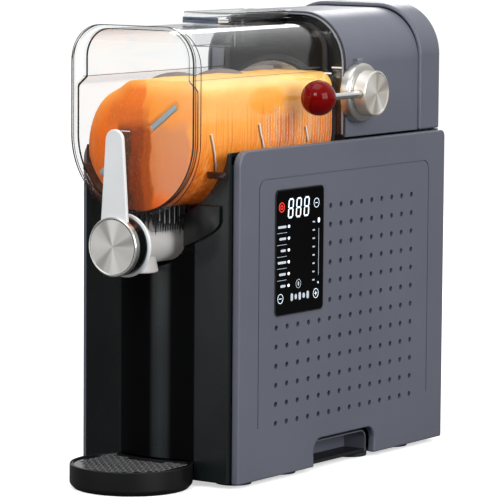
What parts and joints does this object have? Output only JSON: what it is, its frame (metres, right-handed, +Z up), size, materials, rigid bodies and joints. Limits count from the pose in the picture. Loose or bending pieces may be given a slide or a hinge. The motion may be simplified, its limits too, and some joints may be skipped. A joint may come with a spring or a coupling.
{
  "type": "slush machine",
  "caption": "Countertop slush machine: clear freezing vessel with auger and front tap, drive tower with lock lever, vented base and round drip tray.",
  "frame": {"origin": "centre of the bounding box at the table surface", "axes": "+Z up; the tap, lever and drip tray face -Y; +X is the user's right, the side with the touch panel and the lock lever"},
  "size_m": [0.194, 0.4346, 0.414],
  "materials": {
    "case": "satin blue-grey powder coat",
    "black": "black moulded plastic, low gloss",
    "dark": "dark grey",
    "rubber": "matt",
    "screw_steel": "plated",
    "silicone": "translucent silicone",
    "stainless": "satin stainless",
    "auger_plastic": "translucent grey",
    "cast_alloy": "plain",
    "motor_steel": "grey paint",
    "copper_tube": "drawn tube",
    "circuit_board": "solder mask",
    "display_glass": "gloss black touch glass",
    "clear_plastic": "clear, polished",
    "grey_plastic": "light grey, satin",
    "silver_plastic": "silver, satin",
    "brushed_face": "radially brushed",
    "rod_steel": "polished",
    "red_ball": "gloss dark red"
  },
  "bodies": {
    "chassis": {"side_panel_right": "case", "side_panel_left": "case", "rear_panel": "case", "tower_shell": "case", "rear_cover": "case", "front_cover": "black", "vessel_cradle": "black", "cable_gland": "black", "compressor": "black", "fan_shroud": "black", "fan_motor": "black", "base_plate": "dark", "tower_bulkhead": "dark", "foot_right_front": "rubber", "foot_right_rear": "rubber", "foot_left_front": "rubber", "foot_left_rear": "rubber", "shaft_seal": "rubber", "rear_screw_1": "screw_steel", "rear_screw_2": "screw_steel", "rear_screw_3": "screw_steel", "rear_screw_4": "screw_steel", "vessel_gasket": "silicone", "evaporator": "stainless", "gearbox": "cast_alloy", "condenser": "cast_alloy", "gear_motor": "motor_steel", "suction_line": "copper_tube", "discharge_line": "copper_tube", "liquid_line": "copper_tube", "filter_drier": "copper_tube", "main_board": "circuit_board", "control_board": "circuit_board", "control_glass": "display_glass", "lock_ring": "silver_plastic"},
    "vessel": {"vessel": "clear_plastic", "hatch_pin": "stainless", "tap_body": "grey_plastic", "tap_flange_ring": "silver_plastic", "tap_spacer_ring": "black"},
    "hatch": {"hatch_lid": "clear_plastic"},
    "tap_handle": {"valve_plug": "grey_plastic", "tap_disc": "brushed_face", "tap_lever": "silver_plastic"},
    "auger": {"auger": "auger_plastic", "drive_shaft": "stainless"},
    "fan": {"condenser_fan": "black"},
    "lock_lever": {"lock_hub": "brushed_face", "lock_spindle": "rod_steel", "lock_rod": "rod_steel", "lock_ball": "red_ball"},
    "tray": {"drip_tray": "black"},
    "grille": {"drip_grille": "black"}
  },
  "joints": [
    {"name": "vessel_slide", "type": "slide", "parent": "chassis", "child": "vessel", "axis": [0, -1, 0], "range_m": [0, 0.225]},
    {"name": "hatch_hinge", "type": "hinge", "parent": "vessel", "child": "hatch", "pos_m": [-0.01185, 0.03975, 0.408], "axis": [-1, 0, 0], "range_deg": [0, 100]},
    {"name": "tap_turn", "type": "hinge", "parent": "vessel", "child": "tap_handle", "pos_m": [-0.01185, -0.14925, 0.2134], "axis": [0, 1, 0], "range_deg": [0, 90]},
    {"name": "auger_spin", "type": "hinge", "parent": "chassis", "child": "auger", "pos_m": [-0.01185, -0.05425, 0.3063], "axis": [0, -1, 0], "continuous": true},
    {"name": "fan_spin", "type": "hinge", "parent": "chassis", "child": "fan", "pos_m": [-0.01185, 0.17175, 0.084], "axis": [0, 1, 0], "continuous": true},
    {"name": "lock_turn", "type": "hinge", "parent": "chassis", "child": "lock_lever", "pos_m": [0.08115, 0.07405, 0.3372], "axis": [-1, 0, 0], "range_deg": [0, 90]},
    {"name": "tray_slide", "type": "slide", "parent": "chassis", "child": "tray", "axis": [0, -1, 0], "range_m": [0, 0.12]},
    {"name": "grille_lift", "type": "slide", "parent": "tray", "child": "grille", "axis": [0, 0, 1], "range_m": [0, 0.04]}
  ]
}
